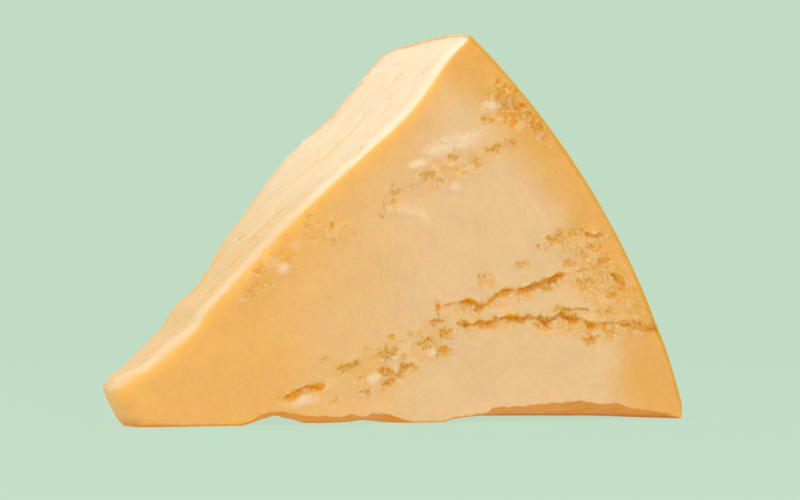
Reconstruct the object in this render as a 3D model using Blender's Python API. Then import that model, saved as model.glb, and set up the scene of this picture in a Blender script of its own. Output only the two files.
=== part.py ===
# Parmesan chunk: a sector split from a wheel of hard cheese, standing on its lower split face.
# X runs from the thin point to the rind, Y from the broad front face to the back, Z up. Sizes are in mm.
import math

import bmesh
import bpy
import numpy as np
from mathutils import Vector, noise

MM = 0.001
NODE_NAME = "parmesan_chunk"

# The wheel that the chunk comes from: its radius, and where its axis passes in the front face.
WHEEL_RADIUS = 210.0
WHEEL_AXIS = (-115.3, -57.5)
RIND_BULGE = 3.1  # the rind swells this much between the front and the back face, the most past the middle
RIND_LOW_END = (85.7, 4.4)  # below this point the rind's worn corner drops straight down
RIND_FOOT = (85.3, 0.0)

# The upper edge of the front face, from the thin point to the rind, as (x, z).
RIDGE = [
    (-77.2, 9.4), (-76.0, 10.4), (-73.6, 12.6), (-68.0, 15.2), (-62.5, 19.6), (-56.2, 24.5), (-53.0, 29.2),
    (-48.9, 33.4), (-45.5, 36.9), (-40.1, 42.4), (-31.8, 51.1), (-19.7, 62.0), (-8.5, 71.6), (2.6, 81.6),
    (11.5, 93.0), (15.5, 97.9), (19.9, 102.0),
]
POINT_EDGE = [(-75.4, 6.6), (-73.5, 3.2), (-71.2, 0.8)]  # the blunt point, downwards
FOOT_LEFT = (-69.8, 0.0)

# How thick the chunk is, front to back, along its upper edge and along its foot, as (x, thickness).
THICKNESS_ABOVE = [
    (-78.0, 10.0), (-75.0, 12.0), (-72.0, 16.0), (-67.0, 22.5), (-58.0, 28.5), (-51.0, 29.5), (-45.5, 28.5),
    (-40.0, 34.0), (-34.0, 40.5), (-28.0, 44.5), (-19.7, 54.0), (-12.0, 62.0), (-8.5, 65.5), (0.0, 71.0),
    (6.0, 64.5), (13.0, 59.5), (20.0, 61.0), (50.0, 61.5), (90.0, 58.0),
]
THICKNESS_BELOW = [(-78.0, 7.0), (-72.0, 13.0), (-60.0, 25.0), (-40.0, 39.0), (-20.0, 51.0), (5.0, 59.0),
                   (40.0, 62.0), (90.0, 58.0)]
LOFT_RINGS, CAP_RINGS = 31, 22
CAP_CENTRE = (18.0, 36.0)
POINTS_ON_RIDGE, POINTS_ON_RIND, POINTS_ON_FOOT = 64, 48, 120

# The hollow under the lower front edge, as (x, height of the edge, how far back the hollow runs).
FOOT_EDGE = [
    (-75.0, 0.0, 1.0), (-44.0, 0.0, 1.0), (-40.6, 1.2, 45.0), (-38.2, 2.4, 62.0), (-35.5, 3.2, 60.0),
    (-30.6, 2.8, 38.0), (-27.5, 2.4, 14.0), (-22.4, 1.9, 10.0), (-16.8, 1.6, 14.0), (-14.1, 2.4, 16.0),
    (-10.7, 1.9, 30.0), (-7.0, 2.6, 18.0), (-3.0, 2.4, 6.0), (1.4, 0.7, 4.0), (4.3, 0.0, 2.0),
    (12.0, 0.0, 2.0), (15.8, 1.2, 24.0), (20.2, 1.6, 38.0), (24.6, 2.0, 45.0), (26.8, 3.2, 45.0),
    (29.8, 3.7, 43.0), (35.9, 3.8, 41.0), (41.1, 4.2, 39.0), (45.8, 4.5, 37.0), (51.8, 5.2, 33.0),
    (58.9, 4.2, 32.0), (64.0, 4.4, 27.0), (67.4, 3.2, 22.0), (72.8, 2.2, 14.0), (77.7, 2.0, 8.0),
    (80.4, 1.2, 6.0), (84.0, 0.0, 2.0),
]
HOLLOW_SLANT = 0.42  # the hollow runs this much towards the rind for each step back

# Ledges of the split faces: the face drops by "drop" just below the line and comes back over "reach".
FRONT_LEDGES = [
    # the long upper crack, from the middle of the face to the rind
    dict(drop=2.5, reach=3.6, line=[
        (9.0, 27.7), (10.9, 30.2), (15.7, 32.0), (20.7, 32.3), (24.4, 31.3), (28.3, 33.3), (31.4, 34.9),
        (37.0, 35.6), (43.3, 38.1), (51.6, 40.6), (56.4, 40.9), (63.0, 42.6)]),
    # the long lower crack, deep and ragged, right up to the rind
    dict(drop=3.4, reach=2.8, line=[
        (15.0, 24.3), (18.2, 26.5), (23.2, 26.3), (27.8, 26.9), (29.1, 27.8), (36.0, 28.1), (41.7, 27.2),
        (46.4, 28.4), (51.6, 27.9), (56.9, 26.5), (65.9, 26.4), (69.7, 26.9), (81.0, 25.2)]),
    # the broken edge of the upper face, from the foot up to the cracks
    dict(drop=1.9, reach=4.6, line=[
        (-34.5, 5.2), (-29.2, 8.2), (-21.8, 9.9), (-16.9, 12.9), (-12.1, 15.9), (-2.8, 18.7), (3.4, 22.1),
        (7.7, 25.5), (10.0, 28.6)]),
    # the flake high on the face
    dict(drop=1.3, reach=2.4, line=[
        (-3.0, 59.4), (1.2, 60.4), (4.8, 63.8), (11.6, 64.4), (15.4, 67.9), (21.2, 68.6), (27.2, 72.4),
        (32.6, 75.4)]),
    # short cracks beside the rind
    dict(drop=1.4, reach=1.8, line=[(44.5, 29.6), (49.0, 30.3), (55.8, 30.6), (59.0, 29.4)]),
    dict(drop=1.5, reach=2.2, line=[(56.5, 50.6), (60.5, 49.8), (66.5, 49.4), (71.0, 46.4)]),
    dict(drop=1.7, reach=2.4, line=[(63.0, 36.0), (65.2, 38.6), (68.4, 40.0), (72.5, 38.6)]),
    dict(drop=2.0, reach=1.6, line=[(66.5, 24.0), (70.8, 24.6), (79.5, 24.4)]),
]
BACK_LEDGES = [
    dict(drop=3.2, reach=6.0, line=[
        (-22.0, 47.0), (-10.0, 44.0), (4.0, 49.5), (17.0, 47.0), (31.0, 54.0), (46.0, 52.0), (60.0, 58.0)]),
    dict(drop=2.6, reach=4.0, line=[
        (2.0, 18.0), (16.0, 22.5), (28.0, 20.5), (43.0, 27.0), (58.0, 25.5), (74.0, 30.0)]),
    dict(drop=1.8, reach=3.0, line=[(4.0, 70.0), (14.0, 74.5), (24.0, 73.0), (33.0, 79.0)]),
    dict(drop=1.8, reach=3.6, line=[(-52.0, 12.0), (-41.0, 15.5), (-30.0, 14.0), (-19.0, 19.5)]),
]
TOP_LEDGES = [  # on the upper left face, as (place along the slope, distance behind the ridge)
    dict(drop=1.2, reach=3.0, line=[(18.0, 14.0), (40.0, 13.0), (58.0, 17.5), (73.0, 15.0)]),
    dict(drop=1.0, reach=2.6, line=[(78.0, 36.0), (94.0, 31.0), (112.0, 35.0), (128.0, 30.0)]),
]

# Crumbled patches, as a middle line, its half width, how deep it lies and the height of its crumbs.
FRONT_CRUMBS = [
    dict(width=3.6, sunk=0.7, crumbs=1.5, line=[(-31.0, 7.0), (-20.0, 9.0)]),
    dict(width=5.4, sunk=0.9, crumbs=1.6, line=[(-14.0, 11.5), (-3.0, 14.5), (5.0, 19.5), (11.0, 24.0)]),
    dict(width=3.4, sunk=0.6, crumbs=1.3, line=[(18.0, 24.0), (34.0, 25.0), (50.0, 24.5), (60.0, 23.0)]),
    dict(width=9.0, sunk=0.2, crumbs=1.2, line=[(60.0, 47.0), (67.0, 38.0), (72.0, 31.0)]),
    dict(width=4.0, sunk=0.2, crumbs=0.9, line=[(40.0, 46.0), (50.0, 48.0), (58.0, 49.0)]),
    dict(width=4.6, sunk=0.8, crumbs=1.3, line=[(30.0, 85.5), (38.0, 83.5), (43.0, 80.5)]),
    dict(width=4.4, sunk=0.1, crumbs=0.9, line=[(2.0, 61.5), (14.0, 67.0), (29.0, 76.0)]),
    dict(width=4.2, sunk=0.3, crumbs=0.8, line=[(-46.0, 31.5), (-38.0, 38.0), (-28.0, 45.0), (-21.0, 51.0)]),
]
BACK_CRUMBS = [
    dict(width=6.0, sunk=0.8, crumbs=1.5, line=[(-14.0, 40.0), (8.0, 45.0), (30.0, 49.0), (52.0, 50.0)]),
    dict(width=5.0, sunk=0.7, crumbs=1.4, line=[(6.0, 16.0), (30.0, 18.0), (56.0, 22.0), (76.0, 27.0)]),
    dict(width=6.0, sunk=0.4, crumbs=1.2, line=[(-60.0, 10.0), (-40.0, 11.0), (-24.0, 15.0)]),
    dict(width=5.0, sunk=0.4, crumbs=1.2, line=[(16.0, 92.0), (30.0, 86.0), (44.0, 72.0)]),
]
TOP_CRUMBS = [
    dict(width=5.0, sunk=0.3, crumbs=0.9, line=[(14.0, 17.0), (36.0, 15.0), (60.0, 20.0)]),
    dict(width=6.0, sunk=0.3, crumbs=0.9, line=[(80.0, 40.0), (104.0, 44.0), (130.0, 40.0)]),
]
PITS = [  # single small holes of the front face, as (x, z, radius, depth)
    (-25.3, 51.6, 1.3, 1.0), (-19.7, 53.0, 0.9, 0.7), (-33.7, 43.6, 1.4, 0.9), (-37.5, 36.8, 1.5, 1.1),
    (-29.0, 39.2, 1.0, 0.8), (-44.6, 33.4, 1.8, 1.2), (-13.1, 49.4, 1.1, 0.8), (-8.4, 46.0, 0.8, 0.6),
    (25.6, 79.7, 1.5, 1.3), (32.4, 74.8, 1.4, 1.3), (27.3, 72.0, 1.6, 1.5), (15.9, 66.3, 1.1, 1.2),
    (5.4, 63.9, 1.3, 1.3), (-0.9, 60.6, 1.4, 1.3), (-2.8, 18.0, 1.8, 1.4), (1.4, 15.6, 1.7, 1.4),
    (-12.8, 16.2, 1.3, 1.0), (12.2, 18.8, 2.0, 1.3), (56.8, 22.2, 2.2, 1.0), (-74.0, 4.6, 2.2, 0.8),
    (36.6, 41.5, 1.6, 0.9), (42.4, 46.6, 1.8, 1.0), (49.6, 48.2, 2.4, 1.0), (60.4, 43.2, 1.8, 1.1),
    (25.4, 37.6, 1.2, 0.6), (60.2, 48.6, 1.7, 1.0),
]

SWELL_HEIGHT, SWELL_SIZE = 0.55, 34.0  # slow waves of the split faces
BACK_SWELL_HEIGHT, BACK_SWELL_SIZE = 1.8, 30.0
ROUGH_HEIGHT, ROUGH_SIZE = 0.22, 5.0
RAGGED = ((1.1, 5.0), (0.5, 1.9))  # how far, and over what size, the ledge lines wander
CRUMB_SIZE = 2.6
VOXEL = 1.0
TRIANGLES = 8600
FLAT_FOOT = 0.45  # the foot is flat where it comes within this of the ground

# The origin is under the middle of the chunk's box, on the ground.
ORIGIN = (5.65, 34.5, 0.0)

CHEESE_COLOUR = (0.86, 0.60, 0.30)
CHEESE_ROUGHNESS = 0.55


def clear_scene():
    for obj in list(bpy.data.objects):
        bpy.data.objects.remove(obj, do_unlink=True)


def smooth_path(points, count):
    """A curve through the points, as count points at even steps along it."""
    p = np.array(points, float)
    before, after = 2 * p[0] - p[1], 2 * p[-1] - p[-2]
    q = np.vstack([before, p, after])
    pieces = []
    for i in range(1, len(q) - 2):
        t = np.linspace(0, 1, 12, endpoint=False)[:, None]
        a, b, c, d = q[i - 1], q[i], q[i + 1], q[i + 2]
        pieces.append(0.5 * (2 * b + (c - a) * t + (2 * a - 5 * b + 4 * c - d) * t**2
                             + (3 * b - a - 3 * c + d) * t**3))
    fine = np.vstack(pieces + [p[-1:]])
    run = np.concatenate([[0], np.cumsum(np.linalg.norm(np.diff(fine, axis=0), axis=1))])
    at = np.linspace(0, run[-1], count)
    return np.stack([np.interp(at, run, fine[:, k]) for k in range(2)], axis=1)


def rind_arc(count, swell):
    """The rind's outline from its top to its low end, on a circle about the wheel's axis."""
    cx, cz = WHEEL_AXIS
    top, low = RIDGE[-1], RIND_LOW_END
    first = math.atan2(top[1] - cz, top[0] - cx)
    last = math.atan2(low[1] - cz, low[0] - cx)
    angles = np.linspace(first, last, count)
    radius = WHEEL_RADIUS + swell
    return np.stack([cx + radius * np.cos(angles), cz + radius * np.sin(angles)], axis=1)


def outline(swell):
    """The closed outline of one slice, as (x, z): ridge, rind, foot and blunt point."""
    ridge = smooth_path(RIDGE, POINTS_ON_RIDGE)
    rind = rind_arc(POINTS_ON_RIND, swell)
    foot = smooth_path([RIND_FOOT, FOOT_LEFT], POINTS_ON_FOOT)
    return np.vstack([ridge[:-1], rind, foot, np.array(POINT_EDGE[::-1])])


def foot_height(x, y):
    """How far the underside is above the ground."""
    edge = np.array(FOOT_EDGE).T
    at = x - HOLLOW_SLANT * y
    height, reach = np.interp(at, edge[0], edge[1]), np.interp(at, edge[0], edge[2])
    return height * np.clip(1 - y / reach, 0, 1)


def thickness(x, z):
    """How far back the chunk goes at each place of its front face."""
    ridge = np.array(RIDGE).T
    rind = np.sqrt(np.clip(WHEEL_RADIUS**2 - (x - WHEEL_AXIS[0])**2, 0, None)) + WHEEL_AXIS[1]
    above = np.where(x < RIDGE[-1][0], np.interp(x, ridge[0], ridge[1]), rind)
    up = np.clip(z / np.maximum(above, 1), 0, 1)
    high, low = np.array(THICKNESS_ABOVE).T, np.array(THICKNESS_BELOW).T
    return up * np.interp(x, high[0], high[1]) + (1 - up) * np.interp(x, low[0], low[1])


def join_rings(mesh, near, far):
    for i in range(len(near)):
        j = (i + 1) % len(near)
        mesh.faces.new((near[i], near[j], far[j], far[i]))


def loft():
    """The plain chunk: slices from the front face to the back face, joined and closed."""
    mesh = bmesh.new()
    rings = []
    for share in np.linspace(0, 1, LOFT_RINGS):
        flat = outline(4 * RIND_BULGE * share * (1 - 0.85 * share))
        depth = share * thickness(flat[:, 0], flat[:, 1])
        height = np.maximum(flat[:, 1], foot_height(flat[:, 0], depth))
        rings.append([mesh.verts.new(p) for p in zip(flat[:, 0], depth, height)])
    mesh.faces.new(rings[0][::-1])
    for shrink in np.linspace(1, 0, CAP_RINGS)[1:-1]:
        inner = np.array(CAP_CENTRE) + (flat - CAP_CENTRE) * shrink
        depth = thickness(inner[:, 0], inner[:, 1])
        rings.append([mesh.verts.new(p) for p in zip(inner[:, 0], depth, inner[:, 1])])
    for near, far in zip(rings, rings[1:]):
        join_rings(mesh, near, far)
    mesh.faces.new(rings[-1])
    bmesh.ops.recalc_face_normals(mesh, faces=mesh.faces)
    bmesh.ops.triangulate(mesh, faces=mesh.faces)
    data = bpy.data.meshes.new(NODE_NAME)
    mesh.to_mesh(data)
    mesh.free()
    chunk = bpy.data.objects.new(NODE_NAME, data)
    bpy.context.scene.collection.objects.link(chunk)
    return chunk


def apply_modifiers(obj):
    """Puts the evaluated mesh in place of the object's own, and removes its modifiers."""
    graph = bpy.context.evaluated_depsgraph_get()
    made = bpy.data.meshes.new_from_object(obj.evaluated_get(graph))
    obj.modifiers.clear()
    old = obj.data
    obj.data = made
    bpy.data.meshes.remove(old)
    made.name = NODE_NAME


def remesh(chunk):
    even = chunk.modifiers.new("Even", "REMESH")
    even.mode, even.voxel_size = "VOXEL", VOXEL
    apply_modifiers(chunk)


def waves(points, size, shift):
    """Smooth noise from about -1 to 1 at each point, its waves size mm long."""
    moved = points / size + shift
    return np.array([noise.noise(Vector(p)) for p in moved])


def grains(points, size, shift):
    """Rounded grains packed together: 1 on top of a grain, 0 in the seams."""
    moved = points / size + shift
    near = np.array([noise.voronoi(Vector(p))[0][0] for p in moved])
    return np.clip(1 - near**2 / 0.5, 0, 1)


def step(low, high, value):
    t = np.clip((value - low) / (high - low), 0, 1)
    return t * t * (3 - 2 * t)


def beside(flat, line):
    """For each flat point: distance from the line, positive below it, and the place along it from 0 to 1."""
    line = np.array(line, float)
    best = np.full(len(flat), 1e9)
    side, along = np.zeros(len(flat)), np.zeros(len(flat))
    lengths = np.linalg.norm(np.diff(line, axis=0), axis=1)
    starts = np.concatenate([[0], np.cumsum(lengths)])
    for a, b, length, start in zip(line, line[1:], lengths, starts):
        way = (b - a) / length
        t = np.clip((flat - a) @ way, 0, length)
        gap = flat - (a + t[:, None] * way)
        distance = np.linalg.norm(gap, axis=1)
        nearer = distance < best
        best = np.where(nearer, distance, best)
        below = way[1] * (flat[:, 0] - a[0]) - way[0] * (flat[:, 1] - a[1])
        side = np.where(nearer, np.sign(below), side)
        along = np.where(nearer, (start + t) / starts[-1], along)
    return best * side, along


def ledge_relief(flat, ledges, wander):
    """How far the ledges sink (-) or raise (+) the face at each flat point."""
    total = np.zeros(len(flat))
    for ledge in ledges:
        gap, along = beside(flat, ledge["line"])
        fade = step(0, 0.12, along) * (1 - step(0.86, 1, along))
        uneven = 0.75 + 0.5 * wander
        drop = ledge["drop"] * fade * uneven
        sunk = step(0, 0.7, gap) * np.exp(-np.clip(gap, 0, None) / ledge["reach"])
        lip = 0.22 * np.exp(np.clip(gap, None, 0) / 2.5) * (gap < 0)
        total += drop * (lip - sunk)
    return total


def crumb_relief(flat, patches, grain):
    total = np.zeros(len(flat))
    for patch in patches:
        gap, _ = beside(flat, patch["line"])
        inside = 1 - step(0.35, 1.0, np.abs(gap) / patch["width"])
        total += inside * (patch["crumbs"] * (grain - 0.6) - patch["sunk"])
    return total


def pit_relief(flat):
    total = np.zeros(len(flat))
    for x, z, radius, depth in PITS:
        distance = np.hypot(flat[:, 0] - x, flat[:, 1] - z)
        total -= depth * (1 - step(0.3, 1.3, distance / radius))
    return total


def carve(chunk):
    """Moves every point along its face's direction by the relief of that face."""
    data = chunk.data
    count = len(data.vertices)
    points, normals = np.empty(count * 3), np.empty(count * 3)
    data.vertices.foreach_get("co", points)
    data.vertices.foreach_get("normal", normals)
    points, normals = points.reshape(-1, 3), normals.reshape(-1, 3)

    slope = np.array([RIDGE[-1][0] - RIDGE[0][0], RIDGE[-1][1] - RIDGE[0][1]])
    slope = slope / np.linalg.norm(slope)
    away = np.array([points[:, 0] - WHEEL_AXIS[0], points[:, 2] - WHEEL_AXIS[1]]).T
    rind = step(0.75, 0.95, (away * normals[:, [0, 2]]).sum(axis=1) / np.linalg.norm(away, axis=1))
    front = step(0.35, 0.85, -normals[:, 1])
    back = step(0.35, 0.85, normals[:, 1])
    top = step(0.45, 0.85, -slope[1] * normals[:, 0] + slope[0] * normals[:, 2])
    under = step(0.5, 0.9, -normals[:, 2])

    wander = [waves(points, size, shift) for (_, size), shift in zip(RAGGED * 2, (3.7, 8.1, 15.3, 21.9))]
    sway = [RAGGED[0][0] * wander[0] + RAGGED[1][0] * wander[1],
            RAGGED[0][0] * wander[2] + RAGGED[1][0] * wander[3]]
    face = points[:, [0, 2]] + np.array(sway).T
    from_point = points[:, [0, 2]] - np.array(RIDGE[0])
    roof = np.array([from_point @ slope, points[:, 1]]).T + np.array(sway).T

    grain = grains(points, CRUMB_SIZE, 5.2)
    swell = SWELL_HEIGHT * waves(points, SWELL_SIZE, 1.3)
    rough = ROUGH_HEIGHT * waves(points, ROUGH_SIZE, 9.4)
    front_relief = (swell + rough + pit_relief(points[:, [0, 2]])
                    + ledge_relief(face, FRONT_LEDGES, wander[1]) + crumb_relief(face, FRONT_CRUMBS, grain))
    back_swell = BACK_SWELL_HEIGHT * waves(points, BACK_SWELL_SIZE, 6.6)
    back_relief = (back_swell + 2 * rough + ledge_relief(face, BACK_LEDGES, wander[1])
                   + crumb_relief(face, BACK_CRUMBS, grain))
    top_relief = (1.4 * swell + 1.5 * rough + ledge_relief(roof, TOP_LEDGES, wander[1])
                  + crumb_relief(roof, TOP_CRUMBS, grain))
    relief = front * front_relief + back * back_relief + top * top_relief
    relief += (1 - front - back).clip(0, 1) * (1 - rind) * (1 - under) * rough

    points += normals * (relief * (1 - rind))[:, None]
    points[:, 2] = np.where(points[:, 2] < FLAT_FOOT, 0, points[:, 2])
    data.vertices.foreach_set("co", (points - np.array(ORIGIN)).ravel() * MM)
    data.update()


def thin_out(chunk):
    """Keeps about TRIANGLES triangles, the most of them where the relief is."""
    data = chunk.data
    data.calc_loop_triangles()
    fewer = chunk.modifiers.new("Fewer", "DECIMATE")
    fewer.ratio = TRIANGLES / len(data.loop_triangles)
    fewer.use_collapse_triangulate = True
    apply_modifiers(chunk)
    foot = [v for v in chunk.data.vertices if v.co.z < FLAT_FOOT * MM]
    for vertex in foot:
        vertex.co.z = 0.0
    mesh = bmesh.new()
    mesh.from_mesh(chunk.data)
    bmesh.ops.remove_doubles(mesh, verts=mesh.verts, dist=0.02 * MM)
    bmesh.ops.dissolve_degenerate(mesh, edges=mesh.edges, dist=0.02 * MM)
    bmesh.ops.triangulate(mesh, faces=mesh.faces)
    mesh.to_mesh(chunk.data)
    mesh.free()


def paint(chunk):
    """Gives the chunk its one material, soft shading and crisp break edges."""
    material = bpy.data.materials.new("cheese")
    material.use_nodes = True
    shader = material.node_tree.nodes["Principled BSDF"]
    shader.inputs["Base Color"].default_value = (*CHEESE_COLOUR, 1.0)
    shader.inputs["Roughness"].default_value = CHEESE_ROUGHNESS
    chunk.data.materials.clear()
    chunk.data.materials.append(material)
    for face in chunk.data.polygons:
        face.use_smooth = True
    chunk.data.set_sharp_from_angle(angle=math.radians(38))


def main():
    clear_scene()
    chunk = loft()
    remesh(chunk)
    carve(chunk)
    thin_out(chunk)
    paint(chunk)
    corners = np.array([v.co for v in chunk.data.vertices]) / MM
    print("chunk box, mm:", corners.min(axis=0).round(2), corners.max(axis=0).round(2))


main()
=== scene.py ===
import math

import bmesh
import bpy
import numpy as np
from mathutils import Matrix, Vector, noise


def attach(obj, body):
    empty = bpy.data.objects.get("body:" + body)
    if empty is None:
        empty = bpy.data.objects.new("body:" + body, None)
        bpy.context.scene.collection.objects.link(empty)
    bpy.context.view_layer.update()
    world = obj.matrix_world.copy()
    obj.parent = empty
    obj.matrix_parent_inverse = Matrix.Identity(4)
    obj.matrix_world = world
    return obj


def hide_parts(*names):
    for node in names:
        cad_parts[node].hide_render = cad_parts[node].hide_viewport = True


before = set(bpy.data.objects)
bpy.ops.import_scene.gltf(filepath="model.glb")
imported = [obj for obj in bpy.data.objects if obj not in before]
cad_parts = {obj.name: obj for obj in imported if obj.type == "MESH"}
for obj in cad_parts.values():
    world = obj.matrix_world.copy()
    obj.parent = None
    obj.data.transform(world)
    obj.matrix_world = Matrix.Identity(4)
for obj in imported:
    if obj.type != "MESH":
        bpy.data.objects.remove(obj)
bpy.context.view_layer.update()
mm = 0.001
origin = np.array((5.65, 34.5, 0.0))  # where the frame's origin lies in the chunk's own millimetres

# The chunk is worked out in its own millimetres: x from the thin end to the rind, y from the
# front face back, z up.

wheel = {
    "radius": 210.0,
    "axis": (-115.3, -57.5),      # where the wheel's axis passes, as (x, z)
    "bulge": 3.1,                 # the rind's swelling between front and back
    "lowEnd": (85.7, 4.4),
    "foot": (85.3, 0.0),
}

chunk = {
    "ridge": [(-77.2, 9.4), (-76.0, 10.4), (-73.6, 12.6), (-68.0, 15.2), (-62.5, 19.6), (-56.2, 24.5),
              (-53.0, 29.2), (-48.9, 33.4), (-45.5, 36.9), (-40.1, 42.4), (-31.8, 51.1), (-19.7, 62.0),
              (-8.5, 71.6), (2.6, 81.6), (11.5, 93.0), (15.5, 97.9), (19.9, 102.0)],
    "pointEdge": [(-69.8, 0.0), (-71.2, 0.8), (-73.5, 3.2), (-75.4, 6.6), (-77.2, 9.4)],
    "thickAbove": [(-78.0, 10.0), (-75.0, 12.0), (-72.0, 16.0), (-67.0, 22.5), (-58.0, 28.5), (-51.0, 29.5),
                   (-45.5, 28.5), (-40.0, 34.0), (-34.0, 40.5), (-28.0, 44.5), (-19.7, 54.0), (-12.0, 62.0),
                   (-8.5, 65.5), (0.0, 71.0), (6.0, 64.5), (13.0, 59.5), (20.0, 61.0), (50.0, 61.5),
                   (90.0, 58.0)],
    "thickBelow": [(-78.0, 7.0), (-72.0, 13.0), (-60.0, 25.0), (-40.0, 39.0), (-20.0, 51.0), (5.0, 59.0),
                   (40.0, 62.0), (90.0, 58.0)],
    "ridgeRounding": [(-78.0, 4.2), (-70.0, 3.2), (-55.0, 2.5), (0.0, 2.1), (12.0, 1.9), (20.0, 1.2)],
    "rindRounding": 0.9,
    "footRounding": [(-72.0, 3.0), (-58.0, 0.9), (90.0, 0.8)],
    "tipPasses": 5,               # how often the outline of the thin end is evened out
    "roundSlices": 8,
    "capCentre": (18.0, 36.0),
    "slices": 41,
    "capRings": 22,
    "voxel": 0.36,
    "softening": 12,              # smoothing passes that round the other edges
    "triangles": 192000,
    "ragged": 0.7,                # unevenness of the chipped edge under the front face
    "flatBelow": 0.3,             # what comes this near the ground rests on it
}

hollow = {                        # under the front edge: (x, height of the edge, how far back it runs)
    "edge": [
        (-75.0, 0.0, 1.0), (-44.0, 0.0, 1.0), (-40.6, 1.2, 45.0), (-38.2, 2.4, 62.0), (-35.5, 3.2, 60.0),
        (-30.6, 2.8, 38.0), (-27.5, 2.4, 14.0), (-22.4, 1.9, 10.0), (-16.8, 1.6, 14.0), (-14.1, 2.4, 16.0),
        (-10.7, 1.9, 30.0), (-7.0, 2.6, 18.0), (-3.0, 2.4, 6.0), (1.4, 0.7, 4.0), (4.3, 0.0, 2.0),
        (12.0, 0.0, 2.0), (15.8, 1.2, 24.0), (20.2, 1.6, 38.0), (24.6, 2.0, 45.0), (26.8, 3.2, 45.0),
        (29.8, 3.7, 43.0), (35.9, 3.8, 41.0), (41.1, 4.2, 39.0), (45.8, 4.5, 37.0), (51.8, 5.2, 33.0),
        (58.9, 4.2, 32.0), (64.0, 4.4, 27.0), (67.4, 3.2, 22.0), (72.8, 2.2, 14.0), (77.7, 2.0, 8.0),
        (80.4, 1.2, 6.0), (84.0, 0.0, 2.0),
    ],
    "slant": 0.42,
}


def smoothPath(points, count):
    p = np.array(points, float)
    q = np.vstack([2 * p[0] - p[1], p, 2 * p[-1] - p[-2]])
    t = np.linspace(0, 1, 12, endpoint=False)[:, None]
    parts = []
    for a, b, c, d in zip(q, q[1:], q[2:], q[3:]):
        parts.append(0.5 * (2 * b + (c - a) * t + (2 * a - 5 * b + 4 * c - d) * t**2
                            + (3 * b - a - 3 * c + d) * t**3))
    fine = np.vstack(parts + [p[-1:]])
    run = np.concatenate([[0], np.cumsum(np.linalg.norm(np.diff(fine, axis=0), axis=1))])
    at = np.linspace(0, run[-1], count)
    return np.stack([np.interp(at, run, fine[:, k]) for k in range(2)], axis=1)


def reading(table, x):            # a value read from a table of (x, value)
    return np.interp(x, *np.array(table).T)


def step(low, high, value):
    t = np.clip((value - low) / (high - low), 0, 1)
    return t * t * (3 - 2 * t)


def outline(swell):               # the chunk's outline seen from the front, clockwise
    cx, cz = wheel["axis"]
    top, low = chunk["ridge"][-1], wheel["lowEnd"]
    angles = np.linspace(math.atan2(top[1] - cz, top[0] - cx), math.atan2(low[1] - cz, low[0] - cx), 90)
    radius = wheel["radius"] + swell
    rind = np.stack([cx + radius * np.cos(angles), cz + radius * np.sin(angles)], axis=1)
    ridge = smoothPath(chunk["ridge"], 120)
    foot = smoothPath([wheel["foot"], chunk["pointEdge"][0]], 200)
    point = smoothPath(chunk["pointEdge"], 12)[:-1]
    flat = np.vstack([ridge[:-1], rind, foot[:-1], point])
    tip = step(-71.5, -74.5, flat[:, 0])[:, None] * 0.5
    for _ in range(chunk["tipPasses"]):
        flat = flat * (1 - tip) + (np.roll(flat, 1, axis=0) + np.roll(flat, -1, axis=0)) / 2 * tip
    rounding = np.concatenate([reading(chunk["ridgeRounding"], ridge[:-1, 0]),
                               np.full(len(rind), chunk["rindRounding"]),
                               reading(chunk["footRounding"], foot[:-1, 0]),
                               np.full(len(point), chunk["ridgeRounding"][0][1])])
    return flat, rounding


def waves(points, size, shift):   # smooth noise; each use has a shift of its own, so no two are alike
    return np.array([noise.noise(p) for p in (points / size + shift).tolist()])


def footHeight(x, y):
    edge = np.array(hollow["edge"]).T
    at = x - hollow["slant"] * y
    return np.interp(at, edge[0], edge[1]) * np.clip(1 - y / np.interp(at, edge[0], edge[2]), 0, 1)


def thickness(x, z):
    ridge = np.array(chunk["ridge"]).T
    rind = np.sqrt(np.clip(wheel["radius"]**2 - (x - wheel["axis"][0])**2, 0, None)) + wheel["axis"][1]
    above = np.where(x < ridge[0][-1], np.interp(x, ridge[0], ridge[1]), rind)
    up = np.clip(z / np.maximum(above, 1), 0, 1)
    return up * reading(chunk["thickAbove"], x) + (1 - up) * reading(chunk["thickBelow"], x)


def bulgeAt(share):               # the rind's swelling, by the share of the way from front to back
    return 4 * wheel["bulge"] * share * (1 - 0.85 * share)


def slices():                     # outlines and their depths, from the rounded front edge to the back
    flat, rounding = outline(0)
    along = np.roll(flat, -1, axis=0) - np.roll(flat, 1, axis=0)
    along /= np.linalg.norm(along, axis=1)[:, None]
    inward = np.stack([along[:, 1], -along[:, 0]], axis=1)
    for turn in np.linspace(0, math.pi / 2, chunk["roundSlices"], endpoint=False):
        yield flat + inward * (rounding * (1 - math.sin(turn)))[:, None], rounding * (1 - math.cos(turn))
    for share in np.linspace(0, 1, chunk["slices"]):
        flat, _ = outline(bulgeAt(share))
        yield flat, rounding + share * (thickness(flat[:, 0], flat[:, 1]) - rounding)


def newObject(name, data):
    obj = bpy.data.objects.new(name, data)
    bpy.context.scene.collection.objects.link(obj)
    return obj


def bakeModifiers(obj):
    graph = bpy.context.evaluated_depsgraph_get()
    made = bpy.data.meshes.new_from_object(obj.evaluated_get(graph))
    obj.modifiers.clear()
    old, obj.data = obj.data, made
    bpy.data.meshes.remove(old)


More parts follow.
